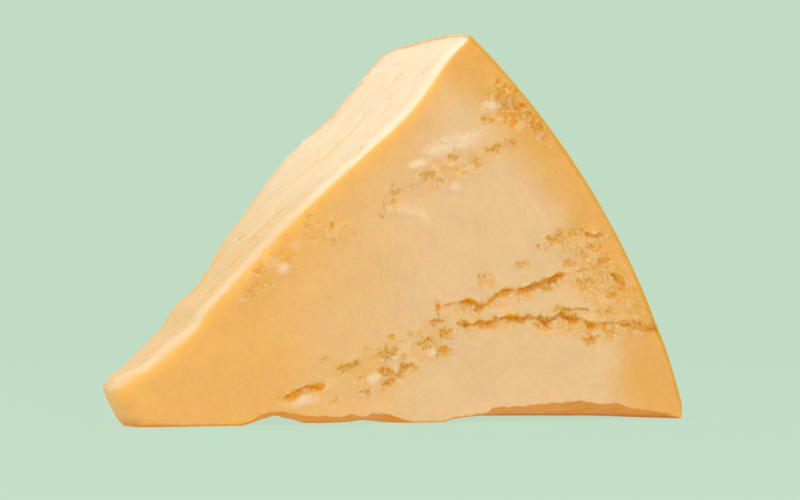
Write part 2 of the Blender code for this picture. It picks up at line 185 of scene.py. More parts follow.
def plainChunk():
    mesh = bmesh.new()
    rings = []
    for flat, depth in slices():
        foot = footHeight(flat[:, 0], depth)
        ragged = chunk["ragged"] * waves(np.stack([flat[:, 0], depth / 8, flat[:, 1] * 0], axis=1), 2.2, 4.1)
        height = np.maximum(flat[:, 1], foot + ragged * step(0.4, 1.4, foot))
        rings.append([mesh.verts.new(p) for p in zip(flat[:, 0], depth, height)])
    mesh.faces.new(rings[0][::-1])
    for shrink in np.linspace(1, 0, chunk["capRings"])[1:-1]:
        inner = np.array(chunk["capCentre"]) + (flat - chunk["capCentre"]) * shrink
        depth = thickness(inner[:, 0], inner[:, 1])
        rings.append([mesh.verts.new(p) for p in zip(inner[:, 0], depth, inner[:, 1])])
    for near, far in zip(rings, rings[1:]):
        for i in range(len(near)):
            j = (i + 1) % len(near)
            mesh.faces.new((near[i], near[j], far[j], far[i]))
    mesh.faces.new(rings[-1])
    bmesh.ops.recalc_face_normals(mesh, faces=mesh.faces)
    bmesh.ops.triangulate(mesh, faces=mesh.faces)
    data = bpy.data.meshes.new("cheese")
    mesh.to_mesh(data)
    mesh.free()
    obj = newObject("cheese", data)
    even = obj.modifiers.new("even", "REMESH")
    even.mode, even.voxel_size = "VOXEL", chunk["voxel"]
    soft = obj.modifiers.new("soft", "SMOOTH")
    soft.factor, soft.iterations = 0.5, chunk["softening"]
    bakeModifiers(obj)
    return obj


# Each ledge drops the face just below its line and comes back over its reach. Its stain says how
# far the deep colour runs down from the line; that orange is partly the crevice's own and partly painted
# shade.
frontLedges = [
    {"drop": 1.5, "reach": 2.6, "stain": 1.2,
     "line": [(10.3, 26.3), (10.0, 28.1), (10.9, 29.7), (13.5, 31.5),
     (18.7, 32.3), (22.3, 31.8), (23.6, 30.5), (25.2, 31.6), (27.3, 33.5), (29.6, 34.7), (32.9, 35.3),
     (36.2, 35.7), (41.9, 37.9), (46.0, 39.1), (49.4, 39.8), (54.4, 40.7), (57.8, 41.4)]},
    {"drop": 1.6, "reach": 2.2, "stain": 1.4,
     "line": [(15.0, 24.8), (17.2, 25.8), (18.7, 26.6), (21.5, 26.2),
     (24.3, 26.0), (28.0, 26.9), (29.6, 27.9), (35.3, 28.2), (40.2, 27.2), (43.5, 27.2), (46.0, 28.0),
     (48.6, 28.5), (53.4, 27.4), (56.0, 26.5), (61.1, 26.7), (66.1, 26.3), (72.5, 25.9)]},
    {"drop": 0.8, "reach": 1.8, "stain": 2.0,
     "line": [(-33.6, 7.0), (-31.1, 8.1), (-29.2, 9.1), (-26.8, 9.7),
     (-24.6, 10.2), (-20.5, 9.8)]},
    {"drop": 0.35, "reach": 5.0, "stain": 0.3,
     "line": [(-22.0, 11.2), (-16.9, 14.6), (-9.0, 16.8), (-2.8, 19.2),
     (3.4, 22.6), (7.7, 25.5), (10.0, 28.6)]},
    {"drop": 0.3, "reach": 1.8, "stain": 0.2,
     "line": [(-2.3, 56.1), (-2.0, 59.5), (0.0, 61.1), (3.7, 62.5),
     (8.0, 64.8), (10.9, 65.4), (13.5, 68.6), (16.7, 70.1), (20.3, 69.1), (23.2, 70.0), (25.3, 72.5),
     (29.1, 73.4), (33.9, 75.7)]},
    {"drop": 1.0, "reach": 1.2, "stain": 0.6,
     "line": [(44.5, 29.4), (46.7, 29.6), (50.1, 30.3), (54.4, 30.4),
     (57.5, 29.7)]},
    {"drop": 1.1, "reach": 1.6, "stain": 0.5,
     "line": [(54.5, 50.6), (58.5, 49.8), (62.5, 49.4)]},
    {"drop": 1.2, "reach": 1.8, "stain": 0.6,
     "line": [(62.0, 41.0), (64.5, 39.4), (66.5, 36.8), (67.5, 34.0)]},
    {"drop": 0.8, "reach": 1.4, "stain": 2.4,
     "line": [(66.5, 24.6), (70.8, 25.2), (75.5, 25.0), (82.0, 24.4)]},
]
backLedges = [
    {"drop": 2.3, "reach": 6.0, "stain": 1.0,
     "line": [(-22.0, 47.0), (-10.0, 44.0), (4.0, 49.5), (17.0, 47.0),
     (31.0, 54.0), (46.0, 52.0), (60.0, 58.0)]},
    {"drop": 1.9, "reach": 4.0, "stain": 1.0,
     "line": [(2.0, 18.0), (16.0, 22.5), (28.0, 20.5), (43.0, 27.0),
     (58.0, 25.5), (74.0, 30.0)]},
    {"drop": 1.4, "reach": 3.0, "stain": 0.8,
     "line": [(4.0, 70.0), (14.0, 74.5), (24.0, 73.0), (33.0, 79.0)]},
    {"drop": 1.5, "reach": 3.6, "stain": 0.8,
     "line": [(-52.0, 12.0), (-41.0, 15.5), (-30.0, 14.0), (-19.0, 19.5)]},
]
topLedges = [                     # on the pale upper face, as (place along the slope, mm behind the ridge)
    {"drop": 0.4, "reach": 3.0, "stain": 0.2,
     "line": [(18.0, 14.0), (40.0, 13.0), (58.0, 17.5), (73.0, 15.0)]},
    {"drop": 0.35, "reach": 2.6, "stain": 0.2,
     "line": [(78.0, 36.0), (94.0, 31.0), (112.0, 35.0), (128.0, 30.0)]},
]

# crumbled hollows: (x, z, half length, half width, tilt in degrees, depth)
crumbles = {
    "low band": [
        (-28.7, 8.4, 2.2, 1.0, 23, 0.6), (-24.9, 9.2, 3.8, 1.1, 9, 0.6), (-21.0, 16.8, 1.7, 0.7, 0, 0.3),
        (-17.7, 5.9, 1.9, 0.6, 23, 0.3), (-14.9, 14.1, 3.1, 1.9, 9, 0.6), (-12.4, 16.0, 1.2, 0.9, 58, 0.8),
        (-9.9, 7.9, 1.9, 0.9, 9, 0.7), (-8.8, 19.4, 0.8, 0.7, 0, 0.5), (-4.3, 17.9, 3.0, 1.4, 5, 0.8),
        (-2.8, 16.9, 1.4, 0.7, 5, 1.4), (1.1, 14.4, 1.6, 0.9, 18, 1.4), (4.0, 14.4, 1.8, 1.2, 18, 0.7),
        (-4.0, 13.3, 2.4, 1.1, -9, 1.1), (-3.1, 10.4, 2.4, 1.2, 58, 0.9), (-0.3, 12.7, 1.5, 1.0, 0, 0.8),
        (-2.3, 22.1, 1.0, 0.7, 0, 0.6), (2.6, 22.9, 0.9, 0.8, 0, 0.5), (6.9, 21.3, 3.2, 0.9, 23, 0.7),
        (10.9, 26.0, 1.8, 0.9, 0, 1.2), (13.5, 22.9, 2.0, 1.4, 18, 1.0), (12.3, 18.4, 2.7, 1.5, 9, 0.9),
        (8.0, 20.8, 2.4, 1.8, 28, 0.5)],
    "step": [
        (10.9, 29.7, 1.8, 0.9, 79, 0.9), (10.6, 26.3, 1.3, 1.2, 0, 0.8), (41.9, 36.5, 4.5, 1.3, 11, 1.5),
        (30.2, 33.8, 3.2, 1.1, 18, 1.0), (23.4, 30.0, 1.3, 0.7, 79, 0.9), (18.4, 26.0, 1.6, 1.0, 0, 1.4),
        (23.7, 25.8, 1.4, 1.0, 0, 1.4), (28.7, 27.1, 1.6, 0.9, 9, 1.3), (36.8, 27.4, 2.4, 0.9, 0, 1.1),
        (42.8, 26.9, 2.4, 1.2, 0, 1.3), (48.9, 28.0, 2.7, 0.9, 4, 1.2), (53.1, 24.8, 11.6, 2.2, -4, 0.3),
        (42.2, 24.7, 2.4, 1.4, 0, 0.7), (56.5, 21.8, 2.6, 1.3, 0, 0.8), (61.4, 23.7, 3.1, 1.9, -9, 0.5),
        (74.0, 24.6, 6.5, 1.5, -3, 0.9), (51.3, 30.0, 4.3, 0.6, 0, 0.5), (68.0, 26.2, 5.6, 0.9, -3, 0.7)],
    "near the rind": [
        (41.5, 46.6, 1.5, 0.9, 9, 0.7), (47.1, 48.7, 4.2, 2.2, 18, 0.6), (24.3, 37.4, 2.3, 1.6, 14, 0.4),
        (35.6, 41.8, 2.1, 1.0, 4, 0.5), (58.4, 39.9, 9.6, 6.0, -57, 0.25), (59.4, 49.7, 1.6, 0.9, 0, 0.8),
        (60.0, 43.2, 1.6, 0.9, 0, 0.8), (65.5, 37.3, 2.6, 1.0, -51, 0.9), (56.3, 45.9, 3.1, 1.4, 9, 0.6),
        (54.7, 36.1, 3.1, 1.9, 0, 0.5), (63.0, 32.4, 2.5, 1.6, 0, 0.5), (52.3, 50.7, 1.8, 1.1, 0, 0.5),
        (61.5, 29.1, 2.8, 0.9, 4, 0.6), (50.4, 42.5, 2.1, 1.1, 27, 0.5), (69.3, 31.1, 2.0, 1.0, -56, 0.6)],
    "below the top": [
        (31.2, 85.5, 4.6, 3.2, -32, 0.7), (38.4, 80.7, 4.6, 2.0, -42, 0.8), (25.0, 79.6, 2.2, 0.9, 0, 0.6),
        (32.6, 74.7, 2.0, 0.9, 0, 0.7), (27.2, 72.1, 2.6, 1.0, 4, 0.8), (21.3, 68.3, 1.4, 1.0, 0, 0.7),
        (15.3, 69.5, 2.0, 0.9, 0, 0.6), (15.6, 66.3, 1.2, 0.8, 0, 0.4), (7.7, 64.5, 3.6, 0.8, 7, 0.8),
        (11.8, 63.6, 1.2, 0.7, 0, 0.4), (-1.1, 60.2, 1.4, 0.9, 18, 0.8), (3.7, 62.3, 1.3, 0.8, 0, 0.6),
        (-0.9, 56.9, 1.6, 0.9, 0, 0.7), (-5.1, 53.5, 0.9, 0.5, 0, 0.5), (-1.1, 54.6, 0.7, 0.5, 0, 0.5)],
    "under the ridge": [
        (-24.7, 53.0, 1.4, 0.9, 0, 0.5), (-25.7, 50.4, 1.1, 0.8, 0, 0.5), (-18.8, 50.6, 1.1, 0.8, 0, 0.5),
        (-24.4, 47.7, 0.8, 0.7, 0, 0.4), (-18.6, 46.7, 0.8, 0.6, 0, 0.4), (-13.1, 49.2, 0.8, 0.7, 60, 0.4),
        (-33.9, 43.7, 1.3, 0.8, 19, 0.5), (-38.5, 43.9, 1.1, 0.8, 28, 0.4), (-35.0, 42.0, 0.9, 0.7, 0, 0.4),
        (-31.2, 41.9, 1.1, 0.8, 0, 0.4), (-29.0, 39.4, 1.0, 0.7, 0, 0.4), (-39.9, 35.0, 1.4, 0.9, 38, 0.5),
        (-36.6, 36.0, 0.9, 0.7, 0, 0.4), (-42.5, 32.7, 1.8, 1.0, 40, 0.4), (-38.2, 39.3, 3.1, 1.3, 40, 0.3)],
}
stains = [                        # wide golden patches, placed the same way, with a strength
    (59.0, 38.5, 15.0, 9.5, -60, 0.6), (72.0, 26.0, 11.0, 3.6, -4, 0.7), (46.0, 27.0, 18.0, 2.6, 2, 0.35),
    (49.0, 48.5, 9.0, 3.4, 16, 0.35), (-3.0, 15.5, 15.0, 5.0, 16, 0.6), (-25.0, 8.8, 8.0, 2.2, 14, 0.95),
    (10.0, 24.5, 6.5, 4.0, 40, 0.5), (36.0, 35.0, 12.0, 2.2, 14, 0.25), (32.0, 83.0, 8.5, 5.0, -36, 1.0),
    (40.5, 77.5, 6.0, 2.6, -50, 1.0), (15.0, 67.0, 21.0, 4.5, 24, 0.6), (-35.0, 40.5, 12.0, 3.4, 42, 0.7),
    (-20.0, 50.0, 9.0, 3.4, 30, 0.5), (-1.0, 57.5, 3.5, 2.5, 60, 0.5), (73.0, 25.2, 8.0, 1.6, -3, 1.0),
    (-75.5, 3.4, 2.6, 1.6, -30, 0.8),
]
bumps = [                         # smooth swellings with a height, the raised ones painted pale as a highlight; the last is a dimple
    (5.4, 67.3, 3.4, 1.7, 9, 0.6), (11.6, 71.9, 4.8, 2.4, 23, 0.6), (18.6, 73.9, 6.2, 3.0, 18, 0.5),
    (26.2, 83.7, 3.4, 2.2, 30, 0.5), (-32.6, 39.6, 2.0, 1.9, 0, 0.5), (15.9, 62.1, 2.4, 1.4, 0, 0.3),
    (-27.3, 5.8, 5.5, 1.5, 9, 0.4), (9.5, 18.4, 1.6, 1.2, 0, 0.4), (-7.5, 12.0, 2.2, 1.4, 20, 0.4),
    (-73.0, 4.4, 2.4, 1.8, 30, -0.4),
]
fold = {
    "height": 0.6,
    "width": 1.3,
    "line": [(-4.8, 53.2), (-2.4, 54.9), (0.9, 55.7), (4.9, 54.5), (7.5, 52.2), (10.0, 50.4)],
}
hiddenCrumbles = {                # the back's own, strewn along its ledges by a seeded draw
    "seed": 7,
    "each": 16,
    "spread": 3.0,
}
speckles = {                      # small pits in the golden patches
    "seed": 5,
    "each": 0.11,                 # a square millimetre, in a patch of full strength
    "sizes": (0.4, 1.5),
    "depths": (0.15, 0.7),
}
paleFace = {                      # small pits on the pale upper face
    "seed": 11,
    "pits": 130,
    "sizes": (0.5, 1.5),
    "depths": (0.1, 0.3),
    "length": 134.0,
    "stained": 0.15,              # how much of the golden halo they keep
}
texture = {
    "chips": (0.4, 3.0),          # height and size of the low flakes in the golden patches
    "swell": (0.5, 34.0),         # the same for the slow waves of the faces
    "backSwell": (1.8, 30.0),
    "rough": (0.10, 4.0),
    "skin": (0.14, 9.0),          # unevenness of the rind
    "sway": ((0.8, 5.0), (0.45, 1.9), (0.3, 0.8)),   # how far, and over what size, the break lines wander
    "grain": ((0.34, 1.4), (0.26, 0.8)),              # height and size of the crumbled relief
    "plate": (0.10, 9.0),         # height and size of the thin plates the faces split along
    "streak": (0.16, 12.0, 1.3),  # on the pale face: height, length, width
}


def grains(points, size, shift):
    near = np.array([noise.voronoi(p)[0][0] for p in (points / size + shift).tolist()])
    return np.clip(1 - near**2 / 0.42, 0, 1)


def beside(flat, line):   # distance from the line, positive below it, and the place along it from 0 to 1
    line = np.array(line, float)
    best = np.full(len(flat), 1e9)
    side, along = np.zeros(len(flat)), np.zeros(len(flat))
    lengths = np.linalg.norm(np.diff(line, axis=0), axis=1)
    starts = np.concatenate([[0], np.cumsum(lengths)])
    for a, b, length, start in zip(line, line[1:], lengths, starts):
        way = (b - a) / length
        t = np.clip((flat - a) @ way, 0, length)
        distance = np.linalg.norm(flat - (a + t[:, None] * way), axis=1)
        nearer = distance < best
        best = np.where(nearer, distance, best)
        below = way[1] * (flat[:, 0] - a[0]) - way[0] * (flat[:, 1] - a[1])
        side = np.where(nearer, np.sign(below), side)
        along = np.where(nearer, (start + t) / starts[-1], along)
    return best * side, along


def closeTo(flat, line, margin):  # the points in a box around the line
    low, high = np.min(line, axis=0) - margin, np.max(line, axis=0) + margin
    return np.flatnonzero(((flat > low) & (flat < high)).all(axis=1))


def ledgeRelief(flat, ledges, field):
    relief, ochre, crumbled, stained = np.zeros((4, len(flat)))
    for ledge in ledges:
        near = closeTo(flat, ledge["line"], 5 * ledge["reach"] + 3)
        gap, along = beside(flat[near], ledge["line"])
        drop = step(0, 0.1, along) * (1 - step(0.88, 1, along)) * field["pulse"][near]
        below = np.clip(gap, 0, None)
        sunk = step(0, 0.45, gap) * np.exp(-below / ledge["reach"])
        lip = 0.2 * np.exp(np.clip(gap, None, 0) / 2.5) * (gap < 0)
        relief[near] += ledge["drop"] * drop * (lip - sunk)
        # Partly painted shade: the deep orange just under the line, where the recess lies in shade.
        stain = step(-0.1, 0.35, gap) * np.exp(-below / ledge["stain"]) * min(1, ledge["drop"])
        ochre[near] = np.maximum(ochre[near], drop * stain)
        loose = step(0.2, 0.8, gap) * np.exp(-below / ledge["reach"]) * min(1, ledge["drop"] / 2)
        crumbled[near] = np.maximum(crumbled[near], drop * loose)
        # Partly painted shade: a wide golden halo that warms the shaded ground round the crevice.
        wide = step(-1.3, 0.2, gap) * np.exp(-below / (1.2 * ledge["reach"])) * min(0.8, ledge["drop"])
        stained[near] = np.maximum(stained[near], drop * wide)
    return relief, ochre, crumbled, stained


def oval(flat, x, z, long, wide, tilt):    # the points near it, how far out each is, and the side it is on
    near = closeTo(flat, [(x, z)], 1.8 * long + 0.5)
    away = flat[near] - (x, z)
    c, s = math.cos(math.radians(tilt)), math.sin(math.radians(tilt))
    across = (away[:, 1] * c - away[:, 0] * s) / wide
    return near, np.hypot((away[:, 0] * c + away[:, 1] * s) / long, across), across


def bumpRelief(flat, field):
    relief, pale = np.zeros((2, len(flat)))
    for *place, height in bumps:
        near, reach, _ = oval(flat, *place)
        inside = 1 - step(0.2, 1.3, reach + 0.2 * field["edge"][near])
        relief[near] += height * inside
        # Painted highlight: a raised bump is marked pale.
        pale[near] = np.maximum(pale[near], inside * (height > 0))
    gap, along = beside(flat, fold["line"])
    crest = np.exp(-(gap / fold["width"])**2) * step(0, 0.2, along) * (1 - step(0.8, 1, along))
    # The fold's crest is marked half pale too, a painted highlight.
    return relief + fold["height"] * crest, np.maximum(pale, 0.5 * crest)


def stainShare(flat, field):
    share = np.zeros(len(flat))
    for *place, strength in stains:
        near, reach, _ = oval(flat, *place)
        inside = 1 - step(0.35, 1.4, reach + 0.15 * field["edge"][near])
        share[near] = np.maximum(share[near], strength * inside)
    return share


def crumbleRelief(flat, places, field):
    relief, ochre, crumbled, stained = np.zeros((4, len(flat)))
    for *place, depth in places:
        near, reach, across = oval(flat, *place)
        inside = 1 - step(0.65, 1.2, reach + 0.8 * field["edge"][near])
        cut = inside * (0.6 + 0.4 * np.clip(across, -1, 1))       # deepest under its upper rim
        relief[near] -= 0.6 * depth * cut
        # Partly painted shade: the deep orange of the hollow, strongest under its shaded upper rim.
        ochre[near] = np.maximum(ochre[near], cut * min(1, 0.35 + depth * 0.6))
        crumbled[near] = np.maximum(crumbled[near], inside * min(1, 0.4 + depth * 0.6))
        # Partly painted shade: a golden halo round the hollow.
        around = 1 - step(1.0, 1.7, reach + 0.5 * field["edge"][near])
        stained[near] = np.maximum(stained[near], around * min(1, 0.3 + depth * 0.6))
    return relief, ochre, crumbled, stained


def strewn(ledges):               # places for crumbled hollows along the hidden faces' ledges
    draw = np.random.default_rng(hiddenCrumbles["seed"])
    places = []
    for ledge in ledges:
        path = smoothPath(ledge["line"], 200)
        for _ in range(hiddenCrumbles["each"]):
            x, z = path[draw.integers(200)] + draw.normal(0, 0.5, 2) * hiddenCrumbles["spread"] - (0, 1)
            long = draw.uniform(0.9, 3.4)
            wide = long * draw.uniform(0.4, 0.7)
            places.append((x, z, long, wide, draw.uniform(-20, 35), draw.uniform(0.4, 1.2)))
    return places


def speckled():                   # small pits strewn in the golden patches
    draw = np.random.default_rng(speckles["seed"])
    places = []
    for x, z, long, wide, tilt, strength in stains:
        for _ in range(int(speckles["each"] * strength * math.pi * long * wide)):
            out, turn = 1.1 * math.sqrt(draw.uniform()), draw.uniform(0, 2 * math.pi)
            a, b = long * out * math.cos(turn), wide * out * math.sin(turn)
            c, s = math.cos(math.radians(tilt)), math.sin(math.radians(tilt))
            size = draw.uniform(*speckles["sizes"])
            places.append((x + a * c - b * s, z + a * s + b * c, size, size * draw.uniform(0.45, 0.8),
                           tilt + draw.uniform(-40, 40), strength * draw.uniform(*speckles["depths"])))
    return places


def topPits():                    # small pits all over the pale face, by a seeded draw
    draw = np.random.default_rng(paleFace["seed"])
    places = []
    for _ in range(paleFace["pits"]):
        long = draw.uniform(*paleFace["sizes"])
        places.append((draw.uniform(0, paleFace["length"]), draw.uniform(3, 62), long, long * 0.55,
                       draw.uniform(-15, 15), draw.uniform(*paleFace["depths"])))
    return places


def readPoints(data, kind):
    values = np.empty(len(data.vertices) * 3)
    data.vertices.foreach_get(kind, values)
    return values.reshape(-1, 3)


def slopeWay():                   # the ridge's main direction, as (x, z)
    ridge = np.array(chunk["ridge"])
    return (ridge[-1] - ridge[0]) / np.linalg.norm(ridge[-1] - ridge[0])


def faceShares(points, normals):  # how much each point belongs to each side of the chunk
    slope = slopeWay()
    away = points[:, [0, 2]] - wheel["axis"]
    far = np.linalg.norm(away, axis=1)
    outward = (away * normals[:, [0, 2]]).sum(axis=1) / far
    depth = np.clip(points[:, 1] / thickness(points[:, 0], points[:, 2]), 0, 1)
    ridge = np.array(chunk["ridge"]).T
    top = step(0.35, 0.85, -slope[1] * normals[:, 0] + slope[0] * normals[:, 2])
    above = np.interp(points[:, 0], ridge[0], ridge[1]) - points[:, 2]
    return {
        "inside": wheel["radius"] + bulgeAt(depth) - far,        # mm in from the rind
        "below": above * slope[0],                               # mm below the ridge
        "rind": step(0.6, 0.9, outward) * step(-4, -1, far - wheel["radius"] - bulgeAt(depth)),
        "front": step(0.35, 0.85, -normals[:, 1]),
        "back": step(0.35, 0.85, normals[:, 1]),
        "top": top,
        "rim": top * step(0.88, 1.0, depth),                     # the pale face's far edge
        "under": step(0.5, 0.9, -normals[:, 2]),
    }


def breakRelief(points, share):   # the split faces' relief, and where they are stained (partly painted shade), crumbled and pale (partly painted highlight)
    print("  noise for", len(points), "points")
    sway = np.zeros((len(points), 2))
    for k, (reach, size) in enumerate(texture["sway"]):
        sway += reach * np.array([waves(points, size, 3.7 + 9 * k), waves(points, size, 8.1 + 9 * k)]).T
    face = points[:, [0, 2]] + sway
    slope = slopeWay()
    roof = np.array([(points[:, [0, 2]] - chunk["ridge"][0]) @ slope, points[:, 1]]).T
    (tall, wide), (low, narrow) = texture["grain"]
    coarse, fine = grains(points, wide, 5.2), grains(points, narrow, 12.6)
    field = {
        "pulse": np.clip(0.85 + 1.7 * waves(points, 4.5, 36.1), 0.1, 1.6),
        "edge": waves(points, 1.3, 27.4) + 0.6 * waves(points, 0.7, 51.3),
    }

    print("  breaks")
    places = [place for group in crumbles.values() for place in group] + speckled()
    sides = {
        "front": (ledgeRelief(face, frontLedges, field), crumbleRelief(face, places, field)),
        "back": (ledgeRelief(face, backLedges, field), crumbleRelief(face, strewn(backLedges), field)),
        "top": (ledgeRelief(roof + sway, topLedges, field), crumbleRelief(roof + sway, topPits(), field)),
    }
    relief, ochre, crumbled, stained = np.zeros((4, len(points)))
    for side, (ledge, crumble) in sides.items():
        halo = paleFace["stained"] if side == "top" else 1
        relief += share[side] * (ledge[0] + crumble[0])
        ochre += share[side] * np.maximum(ledge[1], crumble[1])
        crumbled += share[side] * np.maximum(ledge[2], crumble[2])
        stained += share[side] * np.maximum(ledge[3], crumble[3]) * halo
    swelling, pale = bumpRelief(face, field)
    relief += share["front"] * swelling
    stained = np.maximum(stained, share["front"] * stainShare(face, field))
    crumbled = np.maximum(crumbled, 0.35 * stained * step(0.0, 0.5, waves(points, 1.8, 61.2)))
    relief += crumbled * (tall * (coarse - 0.55) + low * (fine - 0.6))
    ochre *= 0.55 + 0.45 * (1 - coarse * crumbled)
    # Pale on raised grains, bumps and chip tops: partly the flecks' own colour, partly painted highlight.
    bright = np.maximum(crumbled * step(0.55, 0.9, coarse) * (1 - ochre), share["front"] * pale)
    height, size = texture["chips"]
    chips = waves(points, size, 71.5)
    relief += height * stained * step(0.0, 0.16, chips)
    bright = np.maximum(bright, 0.6 * stained * step(0.05, 0.35, chips) * (1 - ochre))

    print("  faces")
    height, size = texture["plate"]
    layers = 2.2 * waves(points * np.array((1, 1, 1.6)), size, 17.5)
    plate = height * (np.floor(layers) + step(0.55, 0.95, layers - np.floor(layers)))
    swell, rough, backSwell, skin = (texture[key][0] * waves(points, texture[key][1], shift)
                                     for key, shift in (("swell", 1.3), ("rough", 9.4), ("backSwell", 6.6),
                                                        ("skin", 44.7)))
    height, long, wide = texture["streak"]
    grainy = np.array([roof[:, 0] / long, roof[:, 1] / wide, points[:, 2] / long]).T
    streak = height * waves(grainy, 1, 2.9) * (0.35 + 0.65 * step(60, 10, roof[:, 0]))
    relief += (share["front"] * (swell + rough + plate) + share["back"] * (backSwell + 2 * rough + plate)
               + share["top"] * (1.2 * swell + 1.5 * rough + plate + streak))
    relief += (1 - share["front"] - share["back"]).clip(0, 1) * (1 - share["under"]) * rough
    cut = 1 - share["rind"]
    return relief * cut + skin * share["rind"], ochre * cut, crumbled * cut, bright * cut, stained * cut


def keepAttribute(data, name, values):
    made = data.attributes.new(name, "FLOAT", "POINT")
    made.data.foreach_set("value", np.ascontiguousarray(values, dtype=np.float32))


def makeCheese():
    obj = plainChunk()
    points, normals = readPoints(obj.data, "co"), readPoints(obj.data, "normal")
    share = faceShares(points, normals)
    relief, ochre, crumbled, bright, stained = breakRelief(points, share)
    points += normals * relief[:, None]
    points[:, 2] = np.where(points[:, 2] < chunk["flatBelow"], 0, points[:, 2])
    obj.data.vertices.foreach_set("co", ((points - origin) * mm).ravel())
    for name, values in (("ochre", ochre), ("crumbled", crumbled), ("bright", bright), ("stained", stained),
                         ("loose", step(0.35, 0.9, crumbled)), ("upperFace", share["top"]), ("rim", share["rim"]),
                         ("under", share["under"]), ("inside", share["inside"]), ("below", share["below"])):
        keepAttribute(obj.data, name, values)
    obj.data.update()
    obj.data.calc_loop_triangles()
    fewer = obj.modifiers.new("fewer", "DECIMATE")
    fewer.ratio = min(1, chunk["triangles"] / len(obj.data.loop_triangles))
    bakeModifiers(obj)
    obj.data.shade_smooth()
    return obj


print("cheese")
cheese = makeCheese()
print("cheese:", len(cheese.data.polygons), "faces")


def tint(red, green, blue):       # a display colour, 0 to 255, as the linear one that nodes take
    linear = [(c / 255 / 12.92 if c < 10 else ((c / 255 + 0.055) / 1.055)**2.4) for c in (red, green, blue)]
    return (*linear, 1.0)


class Wire:                       # a socket that can be used in an expression
    def __init__(self, net, socket):
        self.net, self.socket = net, socket

    def join(self, operation, first, second=0.0):
        return self.net.add("ShaderNodeMath", {"operation": operation}, {0: first, 1: second})

    def __add__(self, other):
        return self.join("ADD", self, other)

    def __radd__(self, other):
        return self.join("ADD", other, self)

    def __sub__(self, other):
        return self.join("SUBTRACT", self, other)

    def __rsub__(self, other):
        return self.join("SUBTRACT", other, self)

    def __mul__(self, other):
        return self.join("MULTIPLY", self, other)

    def __rmul__(self, other):
        return self.join("MULTIPLY", other, self)

    def __truediv__(self, other):
        return self.join("DIVIDE", self, other)


class Net:                        # a node tree being wired up
    def __init__(self, tree):
        self.tree, self.nodes, self.links = tree, tree.nodes, tree.links

    def node(self, kind, settings=None, inputs=None):
        made = self.nodes.new(kind)
        for key, value in (settings or {}).items():
            setattr(made, key, value)
        for key, value in (inputs or {}).items():
            self.put(made.inputs[key], value)
        return made

    def add(self, kind, settings=None, inputs=None, out=0):
        return Wire(self, self.node(kind, settings, inputs).outputs[out])

    def put(self, socket, value):
        if isinstance(value, Wire):
            self.links.new(value.socket, socket)
        else:
            socket.default_value = value


class Finish(Net):                # one material
    def __init__(self, name):
        self.material = bpy.data.materials.new(name)
        self.material.use_nodes = True
        super().__init__(self.material.node_tree)
        self.shader = self.nodes["Principled BSDF"]

    def attribute(self, name):
        return self.add("ShaderNodeAttribute", {"attribute_name": name}, out="Fac")

    def place(self):
        return self.add("ShaderNodeTexCoord", out="Object")

    def noise(self, where, size, detail=2.0, roughness=0.5):   # size in millimetres
        inputs = {"Vector": where, "Scale": 1 / (size * mm), "Detail": detail, "Roughness": roughness}
        return self.add("ShaderNodeTexNoise", None, inputs, out="Fac")

    def stretched(self, x, y, z, size):      # noise drawn out along some ways
        where = self.add("ShaderNodeCombineXYZ", None, {0: x, 1: y, 2: z})
        return self.noise(where, size, 4.0, 0.6)

    def between(self, value, low, high):     # 0 at low, 1 at high, smooth
        return self.add("ShaderNodeMapRange", {"interpolation_type": "SMOOTHSTEP"},
                        {"Value": value, "From Min": low, "From Max": high})

    def mix(self, share, first, second, blend="MIX"):
        return self.add("ShaderNodeMix", {"data_type": "RGBA", "blend_type": blend},
                        {0: share, 6: first, 7: second}, out=2)


paste = {
    "pale": tint(237, 202, 152),
    # golden is the paste's warm tone, and under the ridge also painted glow
    "golden": tint(243, 190, 108),
    # ridge is painted light: the deep yellow glow just under the lit ridge
    "ridge": tint(248, 196, 96),
    "amber": tint(236, 181, 92),
    "loose": tint(242, 184, 88),
    # crack and ochre are the crevices' deep tones, partly their own and partly painted shade
    "crack": tint(254, 174, 8),
    "crumb": tint(255, 200, 94),
    "ochre": tint(240, 192, 76),
    "spark": tint(255, 221, 164),
    "rust": tint(234, 160, 56),
    # foot is painted shadow: the dark brown where the underside meets the ground
    "foot": tint(206, 120, 40),
    # under is painted shade: the deep orange of faces that look down, for the warm shade under the chunk
    "under": tint(246, 150, 18),
    # cream, tan and their warm twins are the upper face, paler partly as painted light
    "cream": tint(241, 218, 182),
    "tan": tint(237, 204, 157),
    "warmCream": tint(226, 190, 136),
    "warmTan": tint(224, 178, 114),
    # edge is a painted highlight: the cream line along the lit ridge
    "edge": tint(250, 230, 198),
    "rim": tint(232, 164, 84),
    "fleck": tint(248, 219, 180),
    "rind": tint(238, 190, 112),
    "rindDark": tint(218, 160, 84),
    "rindEdge": tint(222, 168, 62),
    "roughness": 0.55,
    "subsurface": 0.85,
    "radius": (1.0, 0.45, 0.16),
    "scale": 4 * mm,
    "gloss": 0.12,
    "bump": 0.7,
}


